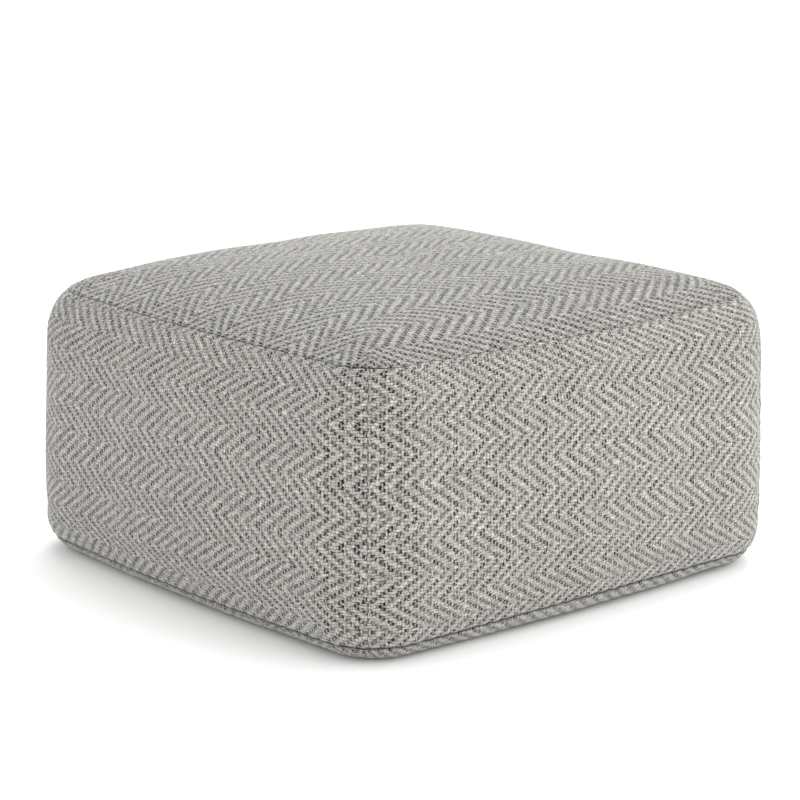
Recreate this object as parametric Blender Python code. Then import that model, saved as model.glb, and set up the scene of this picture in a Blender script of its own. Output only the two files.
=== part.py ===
"""Cube pouf: a low, square, stuffed floor seat covered in herringbone cloth.

Metres, +Z up. The origin is at the middle of the underside, on the floor. The front is -Y and the
right-hand side is +X.

The stuffed form is one cage with the layout of a cube: the twelve edges of that cube are the seams.
Every point of the cage is placed by form_point, which bows the sides, crowns the top, rounds the
shoulders and draws the seams in. The form is then cut at its seams into the six panels that are sewn
together, each of them solid with the filling behind it.
"""

import math

import bmesh
import bpy
from mathutils import Vector

# Driving dimensions, in metres
OVERALL_WIDTH = 0.610       # across the middles of two opposite sides
SIDE_BOW = 0.009            # how far the middle of a side stands out from its ends, seen from above
SIDE_BULGE = 0.002          # how far a side swells halfway up
CORNER_RADIUS = 0.067       # the upright corners, seen from above
EDGE_HEIGHT = 0.304         # height of the top before the filling crowns it
CROWN = 0.028               # rise of the middle of the top above that
SHOULDER = 0.097            # reach of the rounding between side and top, across and down
SHOULDER_FULLNESS = 3.5     # 2 is a quarter circle, more is a fuller shoulder
CROWN_FULLNESS = 3.0        # 2 is a plain dome, more is flatter in the middle
BASE_RADIUS = 0.040         # rounding between side and underside
TOP_SEAM_HEIGHT = 0.2915
BASE_SEAM_HEIGHT = 0.0217
SEAM_DRAW = 0.003           # how deep a seam is drawn into the form
SEAM_GAP = 0.0003           # clearance between two panels
INNER_CORNER_SOFTNESS = 0.030   # how slowly the corners sharpen towards the middle of the top

# Cage layout
CELLS_ACROSS = 24           # cells along each side of the pouf
CELLS_UP = 12               # cells between the base seam and the top seam
EVEN_SHARE = 0.35           # 1 spaces the cells evenly, 0 crowds them towards the seams
TURN_CELLS = 3              # cells in the turned-up edge of the base
SHARP_ANGLE = math.radians(40)
FLAT_ANGLE = math.radians(0.05)

HALF = OVERALL_WIDTH / 2 - SIDE_BOW

UP = Vector((0, 0, 1))
DOWN = Vector((0, 0, -1))
DIAGONAL = math.sqrt(0.5)
SIDE_FACINGS = {
    "side_panel_right": Vector((1, 0, 0)),
    "side_panel_front": Vector((0, -1, 0)),
    "side_panel_left": Vector((-1, 0, 0)),
    "side_panel_back": Vector((0, 1, 0)),
}

CLOTH_COLOUR = (0.38, 0.37, 0.34, 1.0)     # off-white and grey yarns, seen from a step away
CLOTH_ROUGHNESS = 0.95


def clear_scene():
    """Remove every object, so that the model starts from nothing."""
    for old in list(bpy.data.objects):
        bpy.data.objects.remove(old, do_unlink=True)


def spread(share):
    """Move an even cage coordinate from -1 to 1 towards its nearer end, where the form curves most."""
    return EVEN_SHARE * share + (1 - EVEN_SHARE) * math.sin(share * math.pi / 2)


def side_inset(height):
    """How far the side stands in from its widest outline at a height between the two seams."""
    swell = math.sin(math.pi * (height - BASE_SEAM_HEIGHT) / (TOP_SEAM_HEIGHT - BASE_SEAM_HEIGHT))
    inset = SIDE_BULGE * (1 - swell)
    if height < BASE_RADIUS:
        lean = (BASE_RADIUS - height) / BASE_RADIUS
        inset += BASE_RADIUS * (1 - math.sqrt(1 - lean**2))
    if height > EDGE_HEIGHT - SHOULDER:
        rise = (height - EDGE_HEIGHT + SHOULDER) / SHOULDER
        inset += SHOULDER * (1 - (1 - rise**SHOULDER_FULLNESS) ** (1 / SHOULDER_FULLNESS))
    return inset


def outline_point(u, v, inset):
    """Place (u, v) on the rounded, bowed square that lies inset within the widest outline.

    The larger of |u| and |v| is 1 on the outline. Points near a corner are swung onto its arc.
    """
    half = HALF - inset
    tightness = CORNER_RADIUS - inset
    corner = (tightness + math.hypot(tightness, INNER_CORNER_SOFTNESS)) / 2
    corner = min(corner, half)
    x, y = u * half, v * half
    straight = half - corner
    centre_x = max(-straight, min(straight, x))
    centre_y = max(-straight, min(straight, y))
    reach = math.hypot(x - centre_x, y - centre_y)
    if reach > 0:
        x = centre_x + (x - centre_x) * corner / reach
        y = centre_y + (y - centre_y) * corner / reach
    bow = SIDE_BOW * half / HALF
    bow_x = bow * u * (1 - v**2) ** 2
    bow_y = bow * v * (1 - u**2) ** 2
    return x + bow_x, y + bow_y


def top_rise(u, v, inset):
    """Height of the top panel: the shoulder climbs from the seam, and the crown is added to it."""
    climb = max(0.0, (SHOULDER + SIDE_BULGE - inset) / SHOULDER)
    shoulder = SHOULDER * (1 - (1 - climb**SHOULDER_FULLNESS) ** (1 / SHOULDER_FULLNESS))
    crown = CROWN * (1 - abs(u) ** CROWN_FULLNESS) * (1 - abs(v) ** CROWN_FULLNESS)
    return EDGE_HEIGHT - shoulder + crown


def top_point(u, v):
    """Place a point of the cage's upper face, from the middle of the top out to its seam."""
    ring = max(abs(u), abs(v))
    if ring == 0:
        return Vector((0, 0, top_rise(0, 0, HALF)))
    inset = HALF - ring * (HALF - side_inset(TOP_SEAM_HEIGHT))
    x, y = outline_point(u / ring, v / ring, inset)
    return Vector((x, y, top_rise(u, v, inset)))


def base_point(u, v):
    """Place a point of the cage's lower face: flat on the floor, then turned up to the base seam."""
    flat_ring = spread(1 - 2 * TURN_CELLS / CELLS_ACROSS)
    ring = max(abs(u), abs(v))
    if ring == 0:
        return Vector((0, 0, 0))
    if ring <= flat_ring:
        inset = HALF - ring / flat_ring * (HALF - BASE_RADIUS)
        height = 0.0
    else:
        full_turn = math.acos(1 - BASE_SEAM_HEIGHT / BASE_RADIUS)
        turn = full_turn * (ring - flat_ring) / (1 - flat_ring)
        inset = BASE_RADIUS * (1 - math.sin(turn)) + SIDE_BULGE * turn / full_turn
        height = BASE_RADIUS * (1 - math.cos(turn))
    x, y = outline_point(u / ring, v / ring, inset)
    return Vector((x, y, height))


def side_point(u, v, w):
    """Place a point of the cage's upright faces, between the base seam and the top seam."""
    height = BASE_SEAM_HEIGHT + (w + 1) / 2 * (TOP_SEAM_HEIGHT - BASE_SEAM_HEIGHT)
    x, y = outline_point(u, v, side_inset(height))
    return Vector((x, y, height))


def form_point(cage):
    """Place one point of the cube cage on the stuffed form, and draw it in if it lies on a seam."""
    u, v, w = (spread(share) for share in cage)
    on_edge = [abs(abs(share) - 1) < 1e-5 for share in cage]
    if on_edge[2] and w > 0:
        place = top_point(u, v)
    elif on_edge[2]:
        place = base_point(u, v)
    else:
        place = side_point(u, v, w)
    if sum(on_edge) >= 2:
        inward = Vector((place.x, place.y, 0)).normalized()
        place -= inward * SEAM_DRAW
    return place


def stuffed_form():
    """Make the whole pouf as one closed cage of square faces."""
    form = bmesh.new()
    bmesh.ops.create_cube(form, size=2)
    for axis, cells in enumerate((CELLS_ACROSS, CELLS_ACROSS, CELLS_UP)):
        along = [e for e in form.edges if abs(e.verts[0].co[axis] - e.verts[1].co[axis]) > 1e-4]
        bmesh.ops.subdivide_edges(form, edges=along, cuts=cells - 1, use_grid_fill=True)
    for vert in form.verts:
        vert.co = form_point(vert.co)
    bmesh.ops.recalc_face_normals(form, faces=form.faces)
    return form


def cut_off(panel, outward, distance):
    """Remove what lies beyond a seam plane, and close the cut with one flat face."""
    cut = bmesh.ops.bisect_plane(
        panel,
        geom=panel.verts[:] + panel.edges[:] + panel.faces[:],
        plane_co=outward * distance,
        plane_no=outward,
        clear_outer=True,
    )
    rim = [part for part in cut["geom_cut"] if isinstance(part, bmesh.types.BMEdge)]
    bmesh.ops.holes_fill(panel, edges=rim)


def cloth_material(name):
    """A plain matt cloth in the overall colour of its yarns."""
    material = bpy.data.materials.new(name)
    material.use_nodes = True
    shader = material.node_tree.nodes["Principled BSDF"]
    shader.inputs["Base Color"].default_value = CLOTH_COLOUR
    shader.inputs["Roughness"].default_value = CLOTH_ROUGHNESS
    shader.inputs["Metallic"].default_value = 0.0
    material.diffuse_color = CLOTH_COLOUR
    return material


def add_panel(name, form, seam_planes, collection):
    """Cut one panel out of the stuffed form and add it as an object of its own.

    Each seam plane is an outward direction and the plane's distance from the origin along it. The
    panel stops half the seam's clearance short of it.
    """
    panel = form.copy()
    for outward, distance in seam_planes:
        cut_off(panel, outward, distance - SEAM_GAP / 2)
    bmesh.ops.dissolve_limit(
        panel, angle_limit=FLAT_ANGLE, verts=panel.verts[:], edges=panel.edges[:]
    )
    bmesh.ops.recalc_face_normals(panel, faces=panel.faces)
    mesh = bpy.data.meshes.new(name)
    panel.to_mesh(mesh)
    panel.free()
    mesh.shade_smooth()
    mesh.set_sharp_from_angle(angle=SHARP_ANGLE)
    mesh.materials.append(cloth_material(name + "_cloth"))
    collection.objects.link(bpy.data.objects.new(name, mesh))


def corner_planes(facing):
    """The two upright diagonal planes between a side panel and its neighbours."""
    sideways = Vector((-facing.y, facing.x, 0))
    return [((sideways * turn - facing) * DIAGONAL, 0.0) for turn in (-1, 1)]


def build_pouf():
    """Shape the pouf and cut it into its top, four sides and base."""
    collection = bpy.data.collections.new("cube_pouf_stool")
    bpy.context.scene.collection.children.link(collection)
    form = stuffed_form()
    under_top = (UP, TOP_SEAM_HEIGHT)
    over_base = (DOWN, -BASE_SEAM_HEIGHT)
    add_panel("top_panel", form, [(DOWN, -TOP_SEAM_HEIGHT)], collection)
    add_panel("base_panel", form, [(UP, BASE_SEAM_HEIGHT)], collection)
    for name, facing in SIDE_FACINGS.items():
        add_panel(name, form, [under_top, over_base] + corner_planes(facing), collection)
    form.free()


clear_scene()
build_pouf()
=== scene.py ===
"""Looks of the cube pouf: a low, square, stuffed floor seat in chunky herringbone cloth.

Metres, +Z up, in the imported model's frame: the origin is on the floor under the middle, the front is
-Y and the right-hand side is +X. Six sewn panels cover one stuffed form. Each panel is a grid of
points laid out by its yarns, so that every off-white and every grey yarn is raised in the mesh, and
the same yarn counts, kept in the "Weave" UV map, colour the yarns in the cloth's material.
"""

from __future__ import annotations

import logging
import math
from dataclasses import dataclass
from enum import Enum
from functools import partial

import bpy
import numpy as np
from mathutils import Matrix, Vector


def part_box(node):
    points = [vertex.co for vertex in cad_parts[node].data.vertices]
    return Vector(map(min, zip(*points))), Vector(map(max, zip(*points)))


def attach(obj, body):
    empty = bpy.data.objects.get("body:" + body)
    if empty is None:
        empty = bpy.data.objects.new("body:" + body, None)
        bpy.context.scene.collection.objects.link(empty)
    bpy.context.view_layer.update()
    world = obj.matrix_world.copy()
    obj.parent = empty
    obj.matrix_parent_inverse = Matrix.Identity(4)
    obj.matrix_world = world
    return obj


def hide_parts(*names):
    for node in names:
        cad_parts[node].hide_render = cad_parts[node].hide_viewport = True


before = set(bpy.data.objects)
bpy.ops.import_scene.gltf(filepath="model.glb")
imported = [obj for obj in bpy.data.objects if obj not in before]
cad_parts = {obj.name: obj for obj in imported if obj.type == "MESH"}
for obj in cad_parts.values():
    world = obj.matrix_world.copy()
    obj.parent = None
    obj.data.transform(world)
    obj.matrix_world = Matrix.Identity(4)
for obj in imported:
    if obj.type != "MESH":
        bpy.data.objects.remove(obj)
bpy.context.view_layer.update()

LOG = logging.getLogger("cube_pouf")
BODY = "root"
WEAVE_UV = "Weave"
SEAM_SHADE = "seam_shade"
OPENNESS = "openness"
BAKE_UV = "OFBake"

MILLIMETRES = 1000.0            # in a metre: a material's nodes work out heights in millimetres
TINY = 1e-9                     # keeps a length that something is divided by from being zero
CURVE_STEPS = 2001              # points at which a curve's length is measured
OVER = 2                        # each yarn passes over two yarns and under two,
REPEAT = 2 * OVER               # so its pattern repeats after four
GREY_DELAY = 1.5                # a grey yarn rises so many yarns later, where the off-white ones dive
FLOATS_DRAWN = 64               # how many yarns, and floats along each, differ before they repeat
EDGE_STEP = 0.02                # a height is the mean of those this far to each side, in yarns
RING_POWER = 8                  # how late a fitted grid turns from square to rounded
OUTLINE_ROUNDS = 5              # how often an outline and its corner's radius follow each other
BAKE_FACE_TOP = 0.96            # the bake map's part for a panel's face ends here,
BAKE_BACK = (0.975, 0.995)      # and its back's slivers lie between these
NOISE_LOW, NOISE_HIGH = 0.3, 0.7            # nearly all of a noise texture lies between these
NUMBER_A, NUMBER_B = 2, 3                   # a mix node's inputs for numbers,
COLOUR_A, COLOUR_B, MIXED_COLOUR = 6, 7, 2  # and for colours, with its output for those


def linear_colour(sheet_value: str) -> tuple[float, float, float, float]:
    """Turn an sRGB colour into the linear one that the shaders use.

    Args:
        sheet_value: The colour as #RRGGBB.

    Returns:
        Linear red, green and blue, and an alpha of 1.
    """
    parts = [int(sheet_value[start:start + 2], 16) / 255 for start in (1, 3, 5)]
    red, green, blue = (c / 12.92 if c <= 0.04045 else ((c + 0.055) / 1.055) ** 2.4 for c in parts)
    return red, green, blue, 1.0


def add_node(
    tree: bpy.types.NodeTree,
    kind: str,
    links: dict[str | int, object] | None = None,
    output: str | int = 0,
    **settings: object,
) -> bpy.types.NodeSocket:
    """Add one shader node.

    Args:
        tree: The node tree it goes in.
        kind: The node's type name, without the ShaderNode that it starts with.
        links: For each input, by name or number, the socket that feeds it or its plain value.
        output: The wanted output's name or number.
        **settings: The node's own properties.

    Returns:
        The new node's wanted output.
    """
    node = tree.nodes.new("ShaderNode" + kind)
    for name, value in settings.items():
        setattr(node, name, value)
    for name, value in (links or {}).items():
        if isinstance(value, bpy.types.NodeSocket):
            tree.links.new(value, node.inputs[name])
        else:
            node.inputs[name].default_value = value
    return node.outputs[output]


def smooth_step(low: float, high: float, value: np.ndarray) -> np.ndarray:
    """Rise from 0 at low to 1 at high along 3t^2 - 2t^3."""
    share = np.clip((value - low) / (high - low), 0.0, 1.0)
    return share * share * (3 - 2 * share)


def bell(distance: np.ndarray, reach: float) -> np.ndarray:
    """Fade from 1 at no distance as exp(-(distance / reach)^2)."""
    return np.exp(-(distance / reach) ** 2)


def ping_pong(value: np.ndarray, reach: float) -> np.ndarray:
    """Climb from 0 to reach and back again, over and over: a triangle wave of period 2 x reach."""
    return np.abs((value - reach) % (2 * reach) - reach)


def to_nearer_end(share: np.ndarray, length: float) -> np.ndarray:
    """Distance from shares 0 to 1 of a length to the nearer of its ends."""
    return np.minimum(share, 1 - share) * length


def run_lengths(points: np.ndarray) -> np.ndarray:
    """Length along a polyline, from its first point to each of its points."""
    steps = np.linalg.norm(np.diff(points, axis=0), axis=1)
    return np.concatenate([[0.0], np.cumsum(steps)])


def unit_steps(points: np.ndarray, axis: int) -> np.ndarray:
    """Directions in which a grid of points runs: its steps along that axis, at length 1."""
    steps = np.gradient(points, axis=axis)
    return steps / np.linalg.norm(steps, axis=2, keepdims=True)


def surface_normals(points: np.ndarray) -> np.ndarray:
    """Unit normals of a grid of points: the cross product of its column step and its row step."""
    normals = np.cross(np.gradient(points, axis=1), np.gradient(points, axis=0))
    return normals / np.linalg.norm(normals, axis=2, keepdims=True)


def spline_weights(coarse: int, fine: int) -> np.ndarray:
    """Weights that read a smooth cubic curve through evenly spaced values.

    For a point at share t between values 1 and 2 of four neighbours, the weights are
    (-t + 2t^2 - t^3)/2, (2 - 5t^2 + 3t^3)/2, (t + 4t^2 - 3t^3)/2 and (-t^2 + t^3)/2.

    Args:
        coarse: How many values there are.
        fine: How many evenly spaced points are read, ends included.

    Returns:
        A matrix of fine rows and coarse columns.
    """
    place = np.linspace(0, coarse - 1, fine)
    first = np.clip(np.floor(place).astype(int), 0, coarse - 2)
    t = place - first
    shares = (-t + 2 * t**2 - t**3, 2 - 5 * t**2 + 3 * t**3, t + 4 * t**2 - 3 * t**3, -t**2 + t**3)
    weights = np.zeros((fine, coarse))
    for shift, share in enumerate(shares):
        np.add.at(weights, (np.arange(fine), np.clip(first + shift - 1, 0, coarse - 1)), share / 2)
    return weights


def unevenness(points: np.ndarray, wavelength: float, seed: int, waves: int = 6) -> np.ndarray:
    """Slow random swells over a surface, from about -1 to 1.

    Twice the mean of some sine waves of the given wavelength, give or take a third, whose directions
    and starts are drawn from the seed.

    Args:
        points: Any array of points, three numbers each.
        wavelength: The waves' usual length in metres.
        seed: Picks the waves.
        waves: How many waves there are.

    Returns:
        One value for each point.
    """
    draw = np.random.default_rng(seed)
    total = np.zeros(points.shape[:-1])
    for _ in range(waves):
        direction = draw.normal(size=3)
        direction /= np.linalg.norm(direction)
        turns = points @ direction / (wavelength * draw.uniform(0.67, 1.33))
        total += np.sin(2 * math.pi * (turns + draw.uniform()))
    return 2 * total / waves


@dataclass(frozen=True)
class HerringboneCloth:
    """Chunky two-by-two twill herringbone in undyed off-white yarn over yarn a shade greyer.

    Off-white yarns run along the bands, and pass over two grey yarns and under two. Each yarn's
    pattern starts one grey yarn further on than its neighbour's, which makes the slanting ribs, and
    after every ten yarns the shift turns back, which makes the zigzag. The grey yarns stand apart, and
    shade painted into the slots between them draws the ribs. Soft-spun cotton and wool: matt and a
    little fuzzy, with shade painted into the pits where one yarn dives under another.
    """

    light_pitch: float = 0.0028         # from one off-white yarn to the next
    grey_pitch: float = 0.00407         # from one grey yarn to the next
    rows_in_band: int = 10              # off-white yarns before the ribs turn back
    crimp: float = 0.00038              # how far a yarn rises and dives about its middle
    light_rise: float = 0.00048         # how far an off-white yarn's back stands over its edges
    grey_rise: float = 0.00110          # the same for a grey yarn, which is rounder and stands apart
    light_lift: float = 0.00020         # the off-white yarns are plumper, so they stand prouder
    thin_yarn_recess: float = 0.00015   # every second grey yarn is thinner and lies this much deeper
    uneven_float: float = 0.22          # how much one float's height differs from another's
    light_colour: str = "#A9A7A1"
    grey_colour: str = "#A19F99"
    shaded_thin_colour: str = "#93918B"        # every second grey yarn, a little darker: painted shade for its deeper place
    pit_shade_colour: str = "#262524"         # painted shade: what multiplies the colour at the bottom of a pit
    pit_start: float = 0.00040          # depth under the highest yarn at which the painted pit shade begins
    pit_depth: float = 0.00085          # and at which it is darkest
    pit_shade_strength: float = 0.82          # how far a pit takes on its painted shade,
    pit_change: float = 0.25            # give or take this share of that, one pit to the next
    open_depth: float = 0.00005         # how much deeper the painted pit shade reaches where the yarns spread apart
    open_relief: float = 0.3            # how much higher the yarns stand there
    float_tone_change: float = 0.15     # how much darker one float is than another
    patch_tone_change: float = 0.05     # the same from one patch of cloth to the next
    patch_size: float = 0.035
    wander: float = 0.8                 # how far hand-spun yarns stray from their line, in yarns
    wander_along: float = 0.7           # they stray by this share of it along the bands
    wander_size: float = 0.0060
    slub_tone_change: float = 0.36      # light and dark stretches of yarn
    slubs_along: float = 1.9            # stretches to a yarn's width along the bands
    slubs_across: float = 0.55          # and across them, so they are drawn out that way
    plies_per_yarn_width: float = 3.0   # twist lines, drawn coarse enough to show
    ply_depth: float = 0.00010
    fibre_depth: float = 0.00025
    fibre_tone_change: float = 0.50     # light and dark fibres, mixed
    fibre_size: float = 0.0014          # tufts of fibre, drawn coarse enough to show
    fine_relief_strength: float = 0.45  # the mesh already holds most of the yarns' relief
    roughness: float = 0.92
    specular: float = 0.15
    sheen: float = 0.40                 # the fuzz that lightens cloth seen at a low angle
    sheen_roughness: float = 0.45

    @property
    def crest(self) -> float:
        """Height of the highest yarn above the middle of the cloth's thickness."""
        return self.crimp + self.light_lift

    def relief(self, columns: np.ndarray, rows: np.ndarray, seed: int) -> np.ndarray:
        """Height of the cloth's face above the middle of its thickness.

        An off-white yarn stands at crimp x sin(pi/2 x (column - shift)), a grey one at
        crimp x sin(pi/2 x (whole column - shift - 3/2)), and each falls away from its back to its
        edges as the sine of its own width. Every second grey yarn lies a little deeper. The face is the
        higher of the two. The shift counts off-white yarns up and down the band, and the mean is taken
        just before and after each yarn's edge. Every float's crimp is made a little more or less, at
        random.

        Args:
            columns: Place along the bands, counted in grey yarns.
            rows: Place across the bands, counted in off-white yarns.
            seed: Picks the floats' differences.

        Returns:
            The height in metres, one for each place.
        """
        drawn = np.random.default_rng(seed).uniform(-1, 1, size=(2, FLOATS_DRAWN, FLOATS_DRAWN))
        light_chance, grey_chance = drawn * self.uneven_float + 1
        faces = []
        for column in (columns - EDGE_STEP, columns + EDGE_STEP):
            for row in (rows - EDGE_STEP, rows + EDGE_STEP):
                own_row, own_column = np.floor(row), np.floor(column)
                turn = (column - ping_pong(own_row, self.rows_in_band)) / REPEAT
                light = self.yarn_back(turn, own_row, row, self.light_rise, light_chance)
                turn = (own_column - ping_pong(row - 0.5, self.rows_in_band) - GREY_DELAY) / REPEAT
                grey = self.yarn_back(turn, own_column, column, self.grey_rise, grey_chance)
                grey -= self.thin_yarn_recess * (own_column % 2)
                faces.append(np.maximum(light + self.light_lift, grey))
        return np.mean(faces, axis=0)

    def yarn_back(
        self, turn: np.ndarray, own: np.ndarray, width_place: np.ndarray, rise: float, chance: np.ndarray
    ) -> np.ndarray:
        """crimp x sin(2 pi x turn) x chance + rise x (|sin(pi x width_place)| - 1).

        Args:
            turn: Place along each yarn, counted in repeats of its pattern.
            own: Each yarn's number.
            width_place: Place across the yarns, counted in yarns.
            rise: How far a yarn's back stands over its edges.
            chance: What multiplies the crimp, by the yarn's number and the whole turn.

        Returns:
            The height of these yarns' backs in metres.
        """
        own_chance = chance[own.astype(int) % FLOATS_DRAWN, np.floor(turn).astype(int) % FLOATS_DRAWN]
        crimp = self.crimp * np.sin(2 * math.pi * turn) * own_chance
        return crimp + rise * (np.abs(np.sin(math.pi * width_place)) - 1)

    def material(self) -> bpy.types.Material:
        """Woven wool and cotton, which reads the yarn counts in the Weave UV map.

        Returns:
            The cloth's material.
        """
        # Soft-spun wool and cotton scatter light: no gloss, and a pale bloom at a low angle.
        material = bpy.data.materials.new("herringbone_wool_cotton_cloth")
        material.use_nodes = True
        tree = material.node_tree
        weave = WeaveNodes(self, tree)
        shader = tree.nodes["Principled BSDF"]
        tree.links.new(weave.colour(), shader.inputs["Base Color"])
        tree.links.new(weave.normal(), shader.inputs["Normal"])
        shader.inputs["Roughness"].default_value = self.roughness
        shader.inputs["Specular IOR Level"].default_value = self.specular
        shader.inputs["Sheen Weight"].default_value = self.sheen
        shader.inputs["Sheen Roughness"].default_value = self.sheen_roughness
        return material


class WeaveNodes:
    """Draws a cloth with shader nodes: the yarn on top, its tone, painted shade in its pits, twist and fuzz.

    The heights are those of relief(), in millimetres, so the painted pit shade falls where the mesh
    is low. Which colour is on top is settled for each crossing as a whole, so that a float's sides
    run straight.
    """

    def __init__(self, cloth: HerringboneCloth, tree: bpy.types.NodeTree) -> None:
        """Find each point's place in the weave, where hand-spun yarns stray a little from their lines.

        Args:
            cloth: The cloth that is drawn.
            tree: The node tree of its material.
        """
        self.cloth = cloth
        self.add = add = partial(add_node, tree)
        self.point = add("TexCoord", output="Object")
        straying = {"Vector": self.point, "Scale": 1 / cloth.wander_size, "Detail": 1.0}
        off_line = add("VectorMath", {
            0: add("TexNoise", straying, "Color"), 1: (0.5, 0.5, 0.5),
        }, operation="SUBTRACT")
        self.counts = add("VectorMath", {
            0: off_line,
            1: (cloth.wander * cloth.wander_along, cloth.wander, 0.0),
            2: add("UVMap", output="UV", uv_map=WEAVE_UV),
        }, operation="MULTIPLY_ADD")
        self.column = add("SeparateXYZ", {0: self.counts}, "X")
        self.row = self.column.node.outputs["Y"]
        self.whole_column = add("Math", {0: self.column}, operation="FLOOR")
        self.whole_row = add("Math", {0: self.row}, operation="FLOOR")
        # How far on an off-white yarn's pattern starts, and the same without steps, as a grey yarn meets it.
        band = float(cloth.rows_in_band)
        mid_row = add("Math", {0: self.row, 1: 0.5}, operation="SUBTRACT")
        self.shift = add("Math", {0: self.whole_row, 1: band}, operation="PINGPONG")
        self.even_shift = add("Math", {0: mid_row, 1: band}, operation="PINGPONG")
        self.grey_place = add("Math", {0: self.whole_column, 1: GREY_DELAY}, operation="SUBTRACT")
        self.thin = add("Math", {0: self.whole_column, 1: 2.0}, operation="FLOORED_MODULO")
        ahead = add("Math", {0: self.whole_column, 1: self.shift}, operation="SUBTRACT")
        cell = add("Math", {0: ahead, 1: float(REPEAT)}, operation="FLOORED_MODULO")
        self.light_on_top = add("Math", {0: cell, 1: OVER - 0.5}, operation="LESS_THAN")
        tufts = {"Vector": self.point, "Scale": 1 / cloth.fibre_size, "Detail": 2.0}
        self.fibres = add("TexNoise", tufts)
        self.height = self.face_height()

    def face_height(self) -> bpy.types.NodeSocket:
        """The higher of the two yarns, as in relief() but without its random differences.

        For each: crimp x sin(pi/2 x (place - shift)) + rise x (|sin(pi x width place)| - 1) + lift.

        Returns:
            The height in millimetres.
        """
        add, cloth = self.add, self.cloth
        heights = []
        for place, shift, width_place, rise, lift in (
            (self.column, self.shift, self.row, cloth.light_rise, cloth.light_lift),
            (self.grey_place, self.even_shift, self.column, cloth.grey_rise, 0.0),
        ):
            ahead = add("Math", {0: place, 1: shift}, operation="SUBTRACT")
            turn = add("Math", {0: ahead, 1: 2 * math.pi / REPEAT}, operation="MULTIPLY")
            wave = add("Math", {0: turn}, operation="SINE")
            half_turn = add("Math", {0: width_place, 1: math.pi}, operation="MULTIPLY")
            hump = add("Math", {0: half_turn}, operation="SINE")
            back = add("Math", {0: hump}, operation="ABSOLUTE")
            rounding = {0: back, 1: rise * MILLIMETRES, 2: (lift - rise) * MILLIMETRES}
            body = add("Math", rounding, operation="MULTIPLY_ADD")
            crimp = {0: wave, 1: cloth.crimp * MILLIMETRES, 2: body}
            heights.append(add("Math", crimp, operation="MULTIPLY_ADD"))
        recess = {0: self.thin, 1: -cloth.thin_yarn_recess * MILLIMETRES, 2: heights[1]}
        grey_height = add("Math", recess, operation="MULTIPLY_ADD")
        return add("Math", {0: heights[0], 1: grey_height}, operation="MAXIMUM")

    def chance(
        self,
        own: bpy.types.NodeSocket,
        along: bpy.types.NodeSocket,
        shift: bpy.types.NodeSocket,
        low: float,
        high: float,
    ) -> bpy.types.NodeSocket:
        """A random number for each float, picked by its yarn's number and its turn along that yarn.

        Args:
            own: The yarn's number.
            along: Place along the yarn, counted in the yarns that it crosses.
            shift: How far on the yarn's pattern starts.
            low: The least that the number may be.
            high: The most that it may be.

        Returns:
            The number.
        """
        ahead = self.add("Math", {0: along, 1: shift}, operation="SUBTRACT")
        turn = self.add("Math", {0: ahead, 1: 1 / REPEAT}, operation="MULTIPLY")
        whole_turn = self.add("Math", {0: turn}, operation="FLOOR")
        which = self.add("CombineXYZ", {0: own, 1: whole_turn})
        drawn = self.add("TexWhiteNoise", {"Vector": which}, "Value", noise_dimensions="2D")
        return self.add("MapRange", {"Value": drawn, "To Min": low, "To Max": high})

    def tone(self) -> bpy.types.NodeSocket:
        """What multiplies the colour: a tone for each float, times those of slubs, patches and fibres.

        Returns:
            The tone, about 1.
        """
        add, cloth = self.add, self.cloth
        least = 1 - cloth.float_tone_change
        tone = add("Mix", {
            0: self.light_on_top,
            NUMBER_A: self.chance(self.whole_column, self.grey_place, self.even_shift, least, 1.0),
            NUMBER_B: self.chance(self.whole_row, self.column, self.shift, least, 1.0),
        }, data_type="FLOAT")
        stretch = (cloth.slubs_along, cloth.slubs_across, 0.0)
        drawn_out = add("VectorMath", {0: self.counts, 1: stretch}, operation="MULTIPLY")
        slubs = add("TexNoise", {"Vector": drawn_out, "Scale": 1.0, "Detail": 1.0})
        patches = add("TexNoise", {"Vector": self.point, "Scale": 1 / cloth.patch_size, "Detail": 2.0})
        for noise, darker, lighter in (
            (slubs, cloth.slub_tone_change, cloth.slub_tone_change),
            (patches, cloth.patch_tone_change, cloth.patch_tone_change / 2),
            (self.fibres, cloth.fibre_tone_change, cloth.fibre_tone_change),
        ):
            change = add("MapRange", {
                "Value": noise, "From Min": NOISE_LOW, "From Max": NOISE_HIGH,
                "To Min": 1 - darker, "To Max": 1 + lighter,
            })
            tone = add("Math", {0: tone, 1: change}, operation="MULTIPLY")
        return tone

    def painted_shade(self) -> bpy.types.NodeSocket:
        """How far each spot takes on the painted shade, in a pit between yarns or in a seam's crease.

        How dark a pit's painted shade is depends on the pair of grey yarns about it, whose number is
        floor((column - 1/2) / 2), and on the turn along the grey yarn 2 x number + 1.

        Returns:
            The share, from 0 on the yarns' backs.
        """
        add, cloth = self.add, self.cloth
        # Painted shade: the further the face lies under the highest yarn, the darker, the more so where
        # yarns spread apart.
        openness = add("Attribute", output="Fac", attribute_name=OPENNESS)
        opening = {0: openness, 1: -cloth.open_depth * MILLIMETRES, 2: self.height}
        depth = add("MapRange", {
            "Value": add("Math", opening, operation="MULTIPLY_ADD"),
            "From Min": (cloth.crest - cloth.pit_start) * MILLIMETRES,
            "From Max": (cloth.crest - cloth.pit_depth) * MILLIMETRES,
        }, interpolation_type="SMOOTHSTEP")
        pair = add("Math", {0: self.column, 1: 0.5, 2: -0.25}, operation="MULTIPLY_ADD")
        number = add("Math", {0: pair}, operation="FLOOR")
        place = add("Math", {0: number, 1: 2.0, 2: 1 - GREY_DELAY}, operation="MULTIPLY_ADD")
        least, most = (cloth.pit_shade_strength * (1 + sign * cloth.pit_change) for sign in (-1, 1))
        darkness = self.chance(number, place, self.even_shift, least, most)
        pit = add("Math", {0: depth, 1: darkness}, operation="MULTIPLY")
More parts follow.
